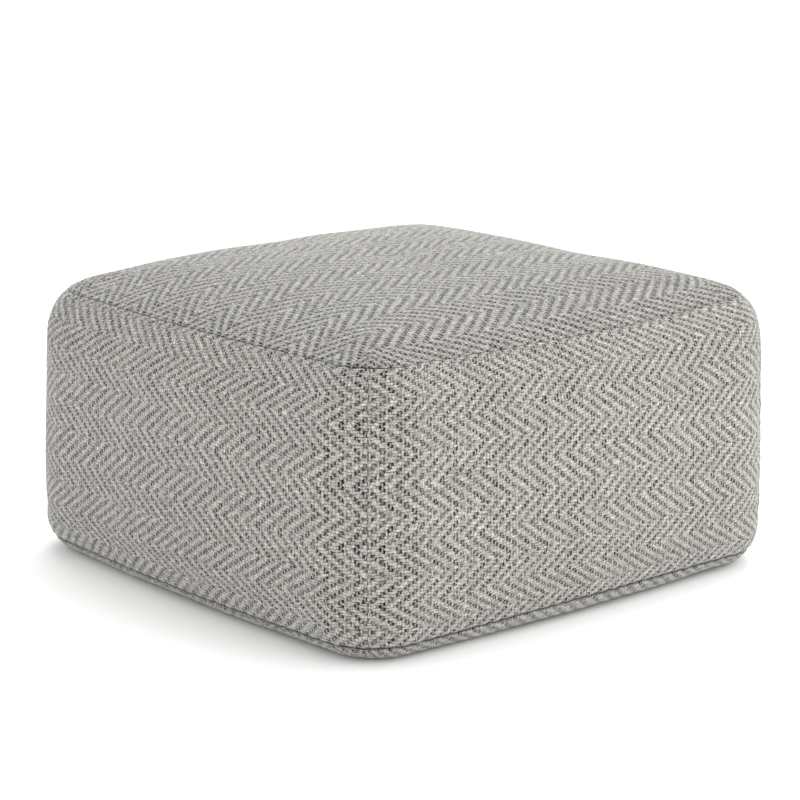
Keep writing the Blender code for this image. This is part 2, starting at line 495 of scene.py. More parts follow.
        # Painted shade in the seams' creases, read from the seam_shade attribute.
        crease = add("Attribute", output="Fac", attribute_name=SEAM_SHADE)
        return add("Math", {0: pit, 1: crease}, operation="MAXIMUM")

    def colour(self) -> bpy.types.NodeSocket:
        """The colour of the yarn on top, times the painted shade's colour in pits and creases, times its
        tone.

        Returns:
            The colour.
        """
        painted_shade = self.painted_shade()
        grey, shaded_thin_grey, light, pit = map(linear_colour, (
            self.cloth.grey_colour, self.cloth.shaded_thin_colour, self.cloth.light_colour, self.cloth.pit_shade_colour,
        ))
        kind = {"output": MIXED_COLOUR, "data_type": "RGBA"}
        # The thinner, deeper-lying grey yarns take a darker colour: painted shade.
        grey_yarn = self.add("Mix", {0: self.thin, COLOUR_A: grey, COLOUR_B: shaded_thin_grey}, **kind)
        yarn = self.add("Mix", {0: self.light_on_top, COLOUR_A: grey_yarn, COLOUR_B: light}, **kind)
        # Painted shade: the pits' and creases' dark colour multiplies the yarn's colour where they are
        # shaded.
        shade = self.add("Mix", {0: painted_shade, COLOUR_A: (1.0, 1.0, 1.0, 1.0), COLOUR_B: pit}, **kind)
        product = {0: 1.0, COLOUR_A: yarn, COLOUR_B: shade}
        shaded = self.add("Mix", product, blend_type="MULTIPLY", **kind)
        return self.add("VectorMath", {0: shaded, "Scale": self.tone()}, operation="SCALE")

    def normal(self) -> bpy.types.NodeSocket:
        """Bump: twist lines that cross each yarn at a slant, and loose fibres all over.

        Returns:
            The bumped normal.
        """
        add, cloth = self.add, self.cloth
        slant = {0: self.column, 1: cloth.plies_per_yarn_width, 2: self.row}
        twist_place = add("Math", slant, operation="MULTIPLY_ADD")
        twist_turn = add("Math", {0: twist_place, 1: 2 * math.pi}, operation="MULTIPLY")
        twist = add("Math", {0: twist_turn}, operation="SINE")
        height = self.height
        for raised, depth in ((twist, cloth.ply_depth), (self.fibres, cloth.fibre_depth)):
            height = add("Math", {0: raised, 1: depth * MILLIMETRES, 2: height}, operation="MULTIPLY_ADD")
        relief = {"Height": height, "Strength": cloth.fine_relief_strength, "Distance": 1 / MILLIMETRES}
        return add("Bump", relief)


@dataclass(frozen=True)
class PlainSeam:
    """A plain sewn seam: the cloth rolls over into it, and the stuffing draws it in a little."""

    draw: float                 # how far the seam lies inside the form
    roll: float                 # width of the rolled edge
    reach: float = 0.016        # how far back from the seam the cloth is still drawn in
    roll_share: float = 0.6     # part of the draw that falls within the roll
    shade: float = 0.0          # how dark the crease's painted shade is: 1 is as dark as a pit's painted shade
    shade_width: float = 0.0018

    def depth(self, distance: np.ndarray) -> np.ndarray:
        """How far the cloth is drawn in at a distance from the seam.

        A quarter circle of the roll's width, plus a dip that fades as exp(-distance / reach).

        Args:
            distance: Distance from the seam along the cloth, in metres.

        Returns:
            The depth in metres, which is the whole draw at the seam.
        """
        lean = 1 - np.clip(distance / self.roll, 0.0, 1.0)
        rolled = 1 - np.sqrt(1 - lean**2)
        dip = np.exp(-distance / self.reach)
        return self.draw * (self.roll_share * rolled + (1 - self.roll_share) * dip)

    def darkness(self, distance: np.ndarray) -> np.ndarray:
        """Painted shade in the crease: shade x exp(-(distance / shade_width)^2)."""
        return self.shade * bell(distance, self.shade_width)


# The corners' seams hardly show, the top's is a shallow crease with faint painted shade, and the
# base's a deep crease with dark painted shade.
CORNER_SEAM = PlainSeam(draw=0.0, roll=0.0010)
TOP_SEAM = PlainSeam(draw=0.0005, roll=0.0012, shade=0.18, shade_width=0.0014)
BASE_SEAM = PlainSeam(draw=0.0042, roll=0.0034, roll_share=0.85, shade=1.0)


@dataclass
class StuffedForm:
    """The stuffed form that the panels cover: bowed sides, rounded corners and a crowned top."""

    half: float                     # from the middle to a side, without its bow
    top_seam: float                 # height of the seam round the top
    base_seam: float                # height of the seam round the base
    edge_height: float              # height of the top before the filling crowns it
    bow: float = 0.009              # how far a side's middle stands out from its ends, from above
    bulge: float = 0.002            # how far a side swells halfway up
    corner_radius: float = 0.067
    crown: float = 0.028
    shoulder: float = 0.097         # reach of the rounding between side and top
    shoulder_fullness: float = 3.5
    crown_fullness: float = 3.0
    base_radius: float = 0.040      # rounding between side and underside
    inner_corner_softness: float = 0.030
    foot_sag: float = 0.0042        # how much lower the base seam hangs at the corners than it was cut
    foot_lift: float = 0.0050       # how far it climbs again along the middle of the right side
    sag_reach: float = 0.010        # how far above and below the seam the cloth moves with it
    flare: float = 0.0045           # how far the settled filling pushes the foot of the sides out
    flare_low: float = 0.05         # height up to which it pushes in full
    flare_high: float = 0.25        # and above which it no longer does
    right_back_fill: float = 0.0072     # how much higher the upper corner at the right and back is packed
    left_back_fill: float = 0.0038      # the same for the one at the left and back
    fill_lean: float = 0.35             # how far it is pushed out each way, as a share of that
    fill_reach: float = 0.14

    @classmethod
    def from_frame(cls) -> StuffedForm:
        """Read the form's width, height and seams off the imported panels.

        Returns:
            The form.
        """
        top_low, top_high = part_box("top_panel")
        base_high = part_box("base_panel")[1]
        side_low, side_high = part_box("side_panel_right")
        return cls(
            half=side_high.x - cls.bow,
            top_seam=(top_low.z + side_high.z) / 2,
            base_seam=(base_high.z + side_low.z) / 2,
            edge_height=top_high.z - cls.crown,
        )

    def shoulder_curve(self, climb: np.ndarray) -> np.ndarray:
        """A superellipse quarter, from 0 up to the shoulder's reach as the climb goes from 0 to 1."""
        fullness = self.shoulder_fullness
        return self.shoulder * (1 - (1 - climb**fullness) ** (1 / fullness))

    def side_inset(self, height: np.ndarray) -> np.ndarray:
        """How far a side stands in from its widest outline.

        The bulge is a half sine wave between the seams, the base is a quarter circle, and the shoulder
        is a superellipse quarter of shoulder_fullness.

        Args:
            height: Heights above the floor, between the two seams.

        Returns:
            The inset at each height.
        """
        rise = (height - self.base_seam) / (self.top_seam - self.base_seam)
        inset = self.bulge * (1 - np.sin(math.pi * np.clip(rise, 0.0, 1.0)))
        lean = np.clip(1 - height / self.base_radius, 0.0, 1.0)
        inset = inset + self.base_radius * (1 - np.sqrt(1 - lean**2))
        climb = np.clip((height - self.edge_height) / self.shoulder + 1, 0.0, 1.0)
        return inset + self.shoulder_curve(climb)

    def corner_at(self, inset: np.ndarray) -> np.ndarray:
        """Corner radius of the outline that lies inset within the widest one, never quite zero."""
        tightness = self.corner_radius - inset
        return (tightness + np.hypot(tightness, self.inner_corner_softness)) / 2

    def side_outline(self, share: np.ndarray, inset: np.ndarray) -> tuple[np.ndarray, np.ndarray]:
        """Points along the +X side of an outline, as places out from the middle and sideways.

        The side is straight, bows out as (1 - share^2)^2, and its ends swing onto the corner arcs.

        Args:
            share: Place along the side, from -1 at one corner to 1 at the next.
            inset: How far the outline lies within the widest one.

        Returns:
            Distance out along the side's facing, and distance sideways.
        """
        half = self.half - inset
        corner = self.corner_at(inset)
        straight = half - corner
        side = share * half
        past = side - np.clip(side, -straight, straight)
        reach = np.hypot(corner, past)
        out = straight + corner * corner / reach
        sideways = side - past + past * corner / reach
        bow = self.bow * half / self.half
        return out + bow * (1 - share**2) ** 2, sideways

    def settled(self, points: np.ndarray) -> np.ndarray:
        """Let the form settle unevenly, as loose filling does.

        Near the base seam, the height changes by (lift x (1 - v^2)^2 - sag) x exp(-((height - seam) /
        reach)^2), the lift only on the right side, and the inset changes with it, so that the cloth
        stays on the form. The foot is then widened by the flare, and each full corner pushed up by its
        fill x exp(-(distance / reach)^2), and outwards by less.

        Args:
            points: Points on the smooth form, x, y and z each.

        Returns:
            The moved points.
        """
        x, y, height = points[..., 0], points[..., 1], points[..., 2]
        inset = self.side_inset(height)
        half = self.half - inset
        straight = half - self.corner_at(inset)
        outward = np.stack([place - np.clip(place, -straight, straight) for place in (x, y)], axis=-1)
        outward /= np.maximum(np.linalg.norm(outward, axis=-1, keepdims=True), TINY)
        share = np.clip(y / half, -1.0, 1.0)
        lift = np.where(x > np.abs(y), self.foot_lift * (1 - share**2) ** 2, 0.0)
        lower = height + (lift - self.foot_sag) * bell(height - self.base_seam, self.sag_reach)
        level = points[..., :2] + outward * (inset - self.side_inset(lower))[..., None]
        pushed = 1 - smooth_step(self.flare_low, self.flare_high, lower)
        level *= 1 + self.flare / self.half * pushed[..., None]
        settled = np.concatenate([level, lower[..., None]], axis=-1)
        for side, fill in ((1.0, self.right_back_fill), (-1.0, self.left_back_fill)):
            away = np.linalg.norm(settled - (side * self.half, self.half, self.edge_height), axis=-1)
            push = fill * bell(away, self.fill_reach)
            settled = settled + push[..., None] * (side * self.fill_lean, self.fill_lean, 1.0)
        return settled

    def fit_to_outline(self, u: np.ndarray, v: np.ndarray, inset: float) -> tuple[np.ndarray, np.ndarray]:
        """Fit a square grid into a rounded outline, before its bow.

        Each point is drawn straight towards the middle. On the edge it is drawn in by the ratio of the
        rounded outline to the square in its direction, and inside by less, as its ring to RING_POWER.

        Args:
            u: Place across the square, from -1 to 1.
            v: Place along the square, from -1 to 1.
            inset: How far the outline lies within the widest one.

        Returns:
            x and y of each point.
        """
        half = self.half - inset
        corner = float(self.corner_at(np.asarray(inset)))
        straight = half - corner
        larger = np.maximum(np.maximum(np.abs(u), np.abs(v)), TINY)
        smaller = np.minimum(np.abs(u), np.abs(v))
        ring = np.abs(u)**RING_POWER + np.abs(v)**RING_POWER - np.abs(u * v)**RING_POWER
        length = np.hypot(larger, smaller)
        towards = straight * (larger + smaller) / length
        root = np.sqrt(np.maximum(towards**2 - 2 * straight**2 + corner**2, 0.0))
        rounded = (towards + root) * larger / length / half
        draw = np.where(smaller * half > straight * larger, np.minimum(rounded, 1.0), 1.0)
        scale = half * (1 - (1 - draw) * ring)
        return u * scale, v * scale

    def inset_at(self, x: np.ndarray, y: np.ndarray) -> np.ndarray:
        """How far a point in plan, without bow, lies within the widest outline.

        The outline through the point is straight or, near a corner, an arc whose centre solves the
        circle's equation. The corner radius depends on the inset, so it is worked out over and over.

        Args:
            x: Places across, in metres.
            y: Places along, in metres.

        Returns:
            The inset of each point.
        """
        larger = np.maximum(np.abs(x), np.abs(y))
        smaller = np.minimum(np.abs(x), np.abs(y))
        inset = self.half - larger
        for _ in range(OUTLINE_ROUNDS):
            corner = self.corner_at(inset)
            under_root = np.maximum(2 * corner**2 - (larger - smaller) ** 2, 0.0)
            centre = (larger + smaller - np.sqrt(under_root)) / 2
            half = np.where(smaller > larger - corner, centre + corner, larger)
            inset = self.half - half
        return inset

    def bowed(
        self, x: np.ndarray, y: np.ndarray, u: np.ndarray, v: np.ndarray
    ) -> tuple[np.ndarray, np.ndarray]:
        """Bow a fitted grid outwards with its sides, by bow x u x (1 - v^2)^2 and the same across."""
        return x + self.bow * u * (1 - v**2) ** 2, y + self.bow * v * (1 - u**2) ** 2

    def top_height(self, u: np.ndarray, v: np.ndarray, inset: np.ndarray) -> np.ndarray:
        """Height of the top: its shoulder climbs from the seam, and the crown is added to it.

        Args:
            u: Place across the top, from -1 to 1.
            v: Place along the top, from -1 to 1.
            inset: How far each point lies within the widest outline.

        Returns:
            The height of each point.
        """
        climb = np.clip((self.shoulder + self.bulge - inset) / self.shoulder, 0.0, 1.0)
        crown = self.crown * (1 - np.abs(u)**self.crown_fullness) * (1 - np.abs(v)**self.crown_fullness)
        return self.edge_height - self.shoulder_curve(climb) + crown


class Facing(Enum):
    """The four sides, by the quarter turns from +X that each one faces."""

    RIGHT = 0
    BACK = 1
    LEFT = 2
    FRONT = 3


@dataclass
class ClothPanel:
    """One sewn panel: a grid of cloth laid out by its yarns, closed behind towards an inner point.

    The grid runs along the bands in columns and across them in rows, a few to each yarn.
    """

    node: str
    form: StuffedForm
    cloth: HerringboneCloth
    seam_gap: float = 0.0001
    samples_per_light_yarn: int = 3
    samples_per_grey_yarn: int = 2
    first_row: int = 0              # where the panel's first yarn falls in the herringbone
    lump_height: float = 0.0009     # unevenness of the filling
    lump_size: float = 0.11
    yarn_sway: float = 0.0010       # how far yarns wander sideways
    sway_size: float = 0.06
    open_reach: float = 0.032       # how far from a corner the yarns are still spread apart
    flat_margin: float = 0.0        # past this distance from the rim the cloth is one flat face, unless 0
    relief_start: float = -0.0004   # distance from a seam at which the yarns are flat
    relief_full: float = 0.0008     # and at which they stand at their full height
    yarn_jitter: float = 0.00028    # how far hand-spun yarns stray from their line, point by point
    jitter_full: float = 0.004      # distance from a seam at which they stray in full
    pucker: float = 0.0004          # how far the stitching pulls a seam out of its line
    pucker_size: float = 0.014
    pucker_reach: float = 0.008     # how far from a seam the cloth still moves with it
    floor_reach: float = 0.006      # height under which the floor presses the yarns flat
    least_level: float = 0.05       # the least level part by which a normal is stretched to level

    def lengths(self) -> tuple[float, float]:
        """Cloth length along the bands and across them, in metres."""
        raise NotImplementedError

    def surface(self, along: np.ndarray, across: np.ndarray) -> np.ndarray:
        """The smooth panel at shares 0 to 1 of its cloth lengths, with seams not yet drawn in."""
        raise NotImplementedError

    def seams(self, along: np.ndarray, across: np.ndarray) -> list[tuple[PlainSeam, np.ndarray]]:
        """Each seam, and the distance to it at shares 0 to 1 of the cloth lengths."""
        raise NotImplementedError

    def inner_point(self) -> np.ndarray:
        """The point inside the form towards which the panel is closed."""
        raise NotImplementedError

    def openness(self, along: np.ndarray, across: np.ndarray) -> np.ndarray:
        """How far the yarns are spread apart, from 0 to 1, at shares 0 to 1 of the cloth lengths."""
        raise NotImplementedError

    def yarn_counts(self) -> tuple[int, int]:
        """How many grey yarns cross the panel, and how many off-white yarns run along it."""
        length, width = self.lengths()
        return round(length / self.cloth.grey_pitch), round(width / self.cloth.light_pitch)

    def drawn_in(self, along: np.ndarray, across: np.ndarray) -> np.ndarray:
        """The smooth panel with its seams drawn level into the form.

        Args:
            along: Shares along the bands, one for each column.
            across: Shares across the bands, one for each row.

        Returns:
            A grid of points, a row for each share across.
        """
        along, across = np.meshgrid(along, across)
        points = self.form.settled(self.surface(along, across))
        level = surface_normals(points) * (1.0, 1.0, 0.0)
        level /= np.maximum(np.linalg.norm(level, axis=2, keepdims=True), self.least_level)
        depth = np.max([seam.depth(distance) for seam, distance in self.seams(along, across)], axis=0)
        return points - level * depth[..., None]

    def uneven(self, points: np.ndarray, distance: np.ndarray, seed: int) -> np.ndarray:
        """Make the cloth uneven, as stuffing and hand-spun yarn do.

        The filling's lumps move it along its normals, and yarns sway sideways by slow waves, both in
        full from a third of a lump's size off the seams. The stitching puckers it near the seams as
        exp(-(distance / reach)^2), and each point strays at random along its two yarns.

        Args:
            points: The grid of points.
            distance: Each point's distance from the nearest seam.
            seed: Picks the waves and the strays.

        Returns:
            The moved points.
        """
        inside = smooth_step(0.0, self.lump_size / 3, distance)
        lumps = self.lump_height * inside * unevenness(points, self.lump_size, seed)
        points = points + surface_normals(points) * lumps[..., None]
        sway = self.yarn_sway * inside * unevenness(points, self.sway_size, seed + 1)
        points = points + unit_steps(points, 0) * sway[..., None]
        pulls = [unevenness(points, self.pucker_size, axis) for axis in range(3)]
        near_seam = self.pucker * bell(distance, self.pucker_reach)
        points = points + np.stack(pulls, axis=-1) * near_seam[..., None]
        strays = np.random.default_rng(seed + 2).normal(size=(2, *distance.shape))
        strays *= self.yarn_jitter * smooth_step(0.0, self.jitter_full, distance)
        steps = (unit_steps(points, 1), unit_steps(points, 0))
        return points + sum(step * stray[..., None] for step, stray in zip(steps, strays))

    def woven(self, swell: np.ndarray | None) -> tuple[np.ndarray, np.ndarray, dict[str, np.ndarray]]:
        """The finished face of the cloth.

        The drawn-in panel, plus the filling's swell, made uneven, plus the yarns' relief along the
        normals. The relief is flat at the seams, and sinks where the cloth lies on the floor, so that
        its crests touch the floor.

        Args:
            swell: How far the filling moves a coarse grid of the panel, or None.

        Returns:
            The grid of points, the yarn counts at each one, and its other values by attribute name.
        """
        grey_yarns, light_yarns = self.yarn_counts()
        columns = np.arange(grey_yarns * self.samples_per_grey_yarn + 1) / self.samples_per_grey_yarn
        rows = np.arange(light_yarns * self.samples_per_light_yarn + 1) / self.samples_per_light_yarn
        points = self.drawn_in(columns / grey_yarns, rows / light_yarns)
        if swell is not None:
            row_weights = spline_weights(swell.shape[0], len(rows))
            column_weights = spline_weights(swell.shape[1], len(columns))
            points = points + np.einsum("ri,ijc,qj->rqc", row_weights, swell, column_weights)
        along, across = np.meshgrid(columns / grey_yarns, rows / light_yarns)
        seams = self.seams(along, across)
        distance = np.min([distance for _, distance in seams], axis=0)
        openness = self.openness(along, across)
        seed = sum(map(ord, self.node))
        points = self.uneven(points, distance, seed)
        counts = np.stack(np.meshgrid(columns, rows + self.first_row), axis=-1)
        relief = self.cloth.relief(counts[..., 0], counts[..., 1], seed)
        relief *= 1 + self.cloth.open_relief * openness
        relief *= smooth_step(self.relief_start, self.relief_full, distance)
        relief -= self.cloth.crest * (1 - smooth_step(0.0, self.floor_reach, points[..., 2]))
        points = points + surface_normals(points) * relief[..., None]
        points[..., 2] = np.maximum(points[..., 2], 0.0)
        # Painted shade of the seams' creases, at each point.
        shade = np.max([seam.darkness(distance) for seam, distance in seams], axis=0)
        return points, counts, {SEAM_SHADE: shade, OPENNESS: openness}

    def build(self, swell: np.ndarray | None, material: bpy.types.Material) -> bpy.types.Object:
        """Make the panel, dress it and put it in the CAD node's place.

        Args:
            swell: How far the filling moves a coarse grid of the panel, or None.
            material: The cloth.

        Returns:
            The new object.
        """
        points, counts, values = self.woven(swell)
        margin = round(self.flat_margin * self.samples_per_grey_yarn / self.cloth.grey_pitch)
        mesh = closed_grid_mesh(self.node + "_cloth", points, counts, values, self.inner_point(), margin)
        mesh.materials.append(material)
        piece = bpy.data.objects.new(self.node + "_cloth", mesh)
        bpy.context.scene.collection.objects.link(piece)
        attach(piece, BODY)
        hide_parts(self.node)
        return piece


def rim_of(index: np.ndarray) -> np.ndarray:
    """The outermost numbers of a grid of vertex numbers, once round, with the grid on the left."""
    return np.concatenate([index[0, :-1], index[:-1, -1], index[-1, :0:-1], index[:0:-1, 0]])


def grid_quads(index: np.ndarray) -> np.ndarray:
    """Corner numbers of a grid's quads, wound so that columns x rows points to the viewer."""
    corners = (index[:-1, :-1], index[:-1, 1:], index[1:, 1:], index[1:, :-1])
    return np.stack(corners, axis=-1).reshape(-1, 4)


def fan(rim: np.ndarray, hub: int) -> np.ndarray:
    """Corner numbers of the triangles from each edge of a closed rim to one hub."""
    return np.stack([rim, np.roll(rim, -1), np.full(len(rim), hub)], axis=-1)


def bake_places(rows: int, columns: int, corners: np.ndarray, closing: int) -> np.ndarray:
    """Places in the bake map, where no two faces overlap.

    The face takes the lower part of the square, and each triangle of the back its own sliver of the
    rest.

    Args:
        rows: Rows of points in the grid.
        columns: Points in each row.
        corners: The vertex at each corner of each face: the grid's points, then its two hubs.
        closing: How many triangles the back has, which come last.

    Returns:
        u and v for each corner.
    """
    u, v = np.meshgrid(np.linspace(0, 1, columns), np.linspace(0, BAKE_FACE_TOP, rows))
    hubs = [[0.5, BAKE_FACE_TOP / 2], [0.0, 0.0]]
    bake = np.concatenate([np.stack([u, v], axis=-1).reshape(-1, 2), hubs])[corners]
    start = np.arange(closing) / closing
    low, high = BAKE_BACK
    slivers = [
        [start + share / closing, np.full(closing, height)]
        for share, height in ((0.9, low), (0.1, low), (0.5, high))
    ]
    bake[-3 * closing:] = np.transpose(slivers, (2, 0, 1)).reshape(-1, 2)
    return bake


def closed_grid_mesh(
    name: str,
    points: np.ndarray,
    counts: np.ndarray,
    values: dict[str, np.ndarray],
    inner: np.ndarray,
    margin: int,
) -> bpy.types.Mesh:
    """Make a closed mesh of a grid and a fan from its rim to an inner point.

    Where the cloth lies flat, a second fan takes the place of the grid's middle.

    Args:
        name: The mesh's name.
        points: The grid of points.
        counts: The yarn counts at each point.
        values: More values at each point, by the name of their attribute.
        inner: The point towards which the back is closed.
        margin: How many cells from the rim the flat middle begins, or 0 for none.

    Returns:
        The mesh, its face smooth and its back flat.
    """
    rows, columns = points.shape[:2]
    index = np.arange(rows * columns).reshape(rows, columns)
    middle, back = rows * columns, rows * columns + 1
    quads = grid_quads(index)
    flat = np.empty((0, 3), int)
    if margin:
        inside = np.zeros((rows - 1, columns - 1), bool)
        inside[margin:-margin, margin:-margin] = True
        quads = quads[~inside.ravel()]
        flat = fan(rim_of(index[margin:-margin, margin:-margin]), middle)
    closing = fan(rim_of(index)[::-1], back)
    corners = np.concatenate([quads.ravel(), flat.ravel(), closing.ravel()])
    sizes = np.repeat([4, 3], [len(quads), len(flat) + len(closing)])
    used, loops = np.unique(corners, return_inverse=True)

    grid_points, grid_counts = points.reshape(-1, 3), counts.reshape(-1, 2)
    vertices = np.concatenate([grid_points, grid_points.mean(axis=0)[None], inner[None]])
    vertices[middle, 2] = points[..., 2].min()
    mesh = bpy.data.meshes.new(name)
    mesh.vertices.add(len(used))
    mesh.vertices.foreach_set("co", vertices[used].astype(np.float32).ravel())
    mesh.loops.add(len(loops))
    mesh.loops.foreach_set("vertex_index", loops.astype(np.int32))
    mesh.polygons.add(len(sizes))
    mesh.polygons.foreach_set("loop_start", (np.cumsum(sizes) - sizes).astype(np.int32))
    mesh.polygons.foreach_set("use_smooth", np.arange(len(sizes)) < len(quads) + len(flat))
    mesh.update(calc_edges=True)

    hub_counts = grid_counts.mean(axis=0, keepdims=True).repeat(2, axis=0)
    yarns = np.concatenate([grid_counts, hub_counts])[corners]
    bake = bake_places(rows, columns, corners, len(closing))
    for map_name, places in {BAKE_UV: bake, WEAVE_UV: yarns}.items():
        layer = mesh.uv_layers.new(name=map_name)
        layer.uv.foreach_set("vector", places.astype(np.float32).ravel())
    hub_values = (0.0, 1.0)         # at the flat middle, and at the inner point, which never shows
    for value_name, grid in values.items():
        attribute = mesh.attributes.new(value_name, "FLOAT", "POINT")
        attribute.data.foreach_set("value", np.append(grid, hub_values)[used].astype(np.float32))
    mesh.validate()
    return mesh


@dataclass
class SidePanel(ClothPanel):
    """An upright side panel, from corner seam to corner seam and from base seam to top seam."""

    facing: Facing = Facing.RIGHT
    first_row: int = 4
    slack: float = 0.0050       # how much lower the yarns lie near the foot, where the cloth is slacker

    def __post_init__(self) -> None:
        """Work out even cloth lengths along the outline and up the side."""
        self._share = np.linspace(-1, 1, CURVE_STEPS)
        outline = self.form.side_outline(self._share, np.zeros_like(self._share))
        self._run = run_lengths(np.stack(outline, axis=-1))
        gap = self.seam_gap / 2
        self._height = np.linspace(self.form.base_seam + gap, self.form.top_seam - gap, CURVE_STEPS)
        profile = np.stack([self.form.side_inset(self._height), self._height], axis=-1)
        self._climb = run_lengths(profile)

    def lengths(self) -> tuple[float, float]:
        """Cloth length round the outline and up the side, in metres."""
        return self._run[-1], self._climb[-1]

    def turned(self, out: np.ndarray, sideways: np.ndarray, height: np.ndarray) -> np.ndarray:
        """Turn points of the +X side about the upright axis to the panel's facing.

        Args:
            out: Distances out from the middle.
            sideways: Distances sideways.
            height: Heights above the floor.

        Returns:
            The points.
        """
        turn = self.facing.value * math.pi / 2
        x = out * math.cos(turn) - sideways * math.sin(turn)
        y = out * math.sin(turn) + sideways * math.cos(turn)
        return np.stack([x, y, height], axis=-1)

    def surface(self, along: np.ndarray, across: np.ndarray) -> np.ndarray:
        """The smooth side: an even run along the outline at every height, turned to its facing.

        Rows sink towards the foot by slack x sin(2 pi x share), because the cloth there is slacker.

        Args:
            along: Shares of the cloth length round the outline.
            across: Shares of the cloth length up the side.

        Returns:
            The points.
        """
        climb = across * self._climb[-1] - self.slack * np.sin(2 * math.pi * across)
        height = np.interp(climb, self._climb, self._height)
        inner_run = self.seam_gap / 2 + along * (self._run[-1] - self.seam_gap)
        share = np.interp(inner_run, self._run, self._share)
        out, sideways = self.form.side_outline(share, self.form.side_inset(height))
        return self.turned(out, sideways, height)

    def seams(self, along: np.ndarray, across: np.ndarray) -> list[tuple[PlainSeam, np.ndarray]]:
        """The two corner seams, the base seam and the top seam.

        Args:
            along: Shares of the cloth length round the outline.
            across: Shares of the cloth length up the side.

        Returns:
            Each seam, and the distance to it.
        """
        length, width = self.lengths()
        to_corner = to_nearer_end(along, length)
        return [(CORNER_SEAM, to_corner), (BASE_SEAM, across * width), (TOP_SEAM, (1 - across) * width)]

    def openness(self, along: np.ndarray, across: np.ndarray) -> np.ndarray:
        """The cloth is stretched round the upright corners: exp(-(distance / open_reach)^2)."""
        return bell(to_nearer_end(along, self.lengths()[0]), self.open_reach)

    def inner_point(self) -> np.ndarray:
        """Just off the pouf's upright axis, halfway up."""
        return self.turned(self.seam_gap, 0.0, (self.form.base_seam + self.form.top_seam) / 2)


@dataclass
class TopPanel(ClothPanel):
    """The crowned top, whose bands run from front to back."""

    edge_seam: PlainSeam = TOP_SEAM
    samples_per_light_yarn: int = 2
    first_row: int = 11

    def __post_init__(self) -> None:
        """Work out even cloth lengths from the seam over the crown to the opposite seam."""
        self._seam_height = self.form.top_seam + self.seam_gap / 2
        self._edge_inset = float(self.form.side_inset(np.asarray(self._seam_height)))
        self._share = np.linspace(-1, 1, CURVE_STEPS)
        across = (self.form.half - self._edge_inset) * self._share
        inset = self.form.half - np.abs(across)
        height = self.form.top_height(self._share, np.zeros_like(self._share), inset)
        self._run = run_lengths(np.stack([across, height], axis=-1))

    def lengths(self) -> tuple[float, float]:
        """Cloth length from front to back and from left to right, in metres."""
        return self._run[-1], self._run[-1]

    def fitted(
        self, along: np.ndarray, across: np.ndarray, turn: int
    ) -> tuple[np.ndarray, np.ndarray, np.ndarray, np.ndarray]:
        """Fit a square grid to the seam's outline, even in its cloth lengths.

        Args:
            along: Shares of the cloth length along the bands.
            across: Shares of the cloth length across the bands.
            turn: 1 for a panel that faces up, and -1 for one that faces down.

        Returns:
            The place in the square, across and along, and x and y, without their bow.
        """
        u = turn * np.interp(across * self._run[-1], self._run, self._share)
        v = -np.interp(along * self._run[-1], self._run, self._share)
        return u, v, *self.form.fit_to_outline(u, v, self._edge_inset)

    def surface(self, along: np.ndarray, across: np.ndarray) -> np.ndarray:
        """The smooth top: the fitted grid, raised by shoulder and crown.

        Args:
            along: Shares of the cloth length from front to back.
            across: Shares of the cloth length from left to right.

        Returns:
            The points.
        """
        u, v, x, y = self.fitted(along, across, 1)
        half = self.form.half - self._edge_inset
        height = self.form.top_height(x / half, y / half, self.form.inset_at(x, y))
        return np.stack([*self.form.bowed(x, y, u, v), height], axis=-1)

    def seams(self, along: np.ndarray, across: np.ndarray) -> list[tuple[PlainSeam, np.ndarray]]:
        """The one seam that runs all round."""
        length, width = self.lengths()
        return [(self.edge_seam, np.minimum(to_nearer_end(along, length), to_nearer_end(across, width)))]

    def openness(self, along: np.ndarray, across: np.ndarray) -> np.ndarray:
        """The cloth is stretched over the four corners: exp(-(distance / open_reach)^2)."""
        length, width = self.lengths()
        return bell(np.hypot(to_nearer_end(along, length), to_nearer_end(across, width)), self.open_reach)

    def inner_point(self) -> np.ndarray:
        """The middle of the level that the seam encloses."""
        return np.array([0.0, 0.0, self._seam_height])


@dataclass
class BasePanel(TopPanel):
    """The underside: flat on the floor, then turned up round the edge to the base seam."""

    edge_seam: PlainSeam = BASE_SEAM
    flat_margin: float = 0.052
    arc_steps: int = 400

    def __post_init__(self) -> None:
        """Work out the turned-up edge: a circular arc from the floor to the base seam."""
        self._seam_height = self.form.base_seam - self.seam_gap / 2
        radius = self.form.base_radius
        full_turn = math.acos(1 - self._seam_height / radius)
        turn = np.linspace(0, full_turn, self.arc_steps)
        inset = radius * (1 - np.sin(turn)) + self.form.bulge * turn / full_turn
        height = radius * (1 - np.cos(turn))
        self._arc_inset, self._arc_height = inset[::-1], height[::-1]
        self._edge_inset = float(inset[-1])
        outward = np.concatenate([[0.0], self.form.half - inset])
        run = run_lengths(np.stack([outward, np.concatenate([[0.0], height])], axis=-1))
        self._share = np.concatenate([-outward[:0:-1], outward]) / (self.form.half - self._edge_inset)
        self._run = np.concatenate([-run[:0:-1], run]) + run[-1]

    def surface(self, along: np.ndarray, across: np.ndarray) -> np.ndarray:
        """The smooth underside: the fitted grid, turned up at its edge.

        Args:
            along: Shares of the cloth length from front to back.
            across: Shares of the cloth length from right to left.

        Returns:
            The points.
        """
        u, v, x, y = self.fitted(along, across, -1)
        height = np.interp(self.form.inset_at(x, y), self._arc_inset, self._arc_height)
        return np.stack([*self.form.bowed(x, y, u, v), height], axis=-1)


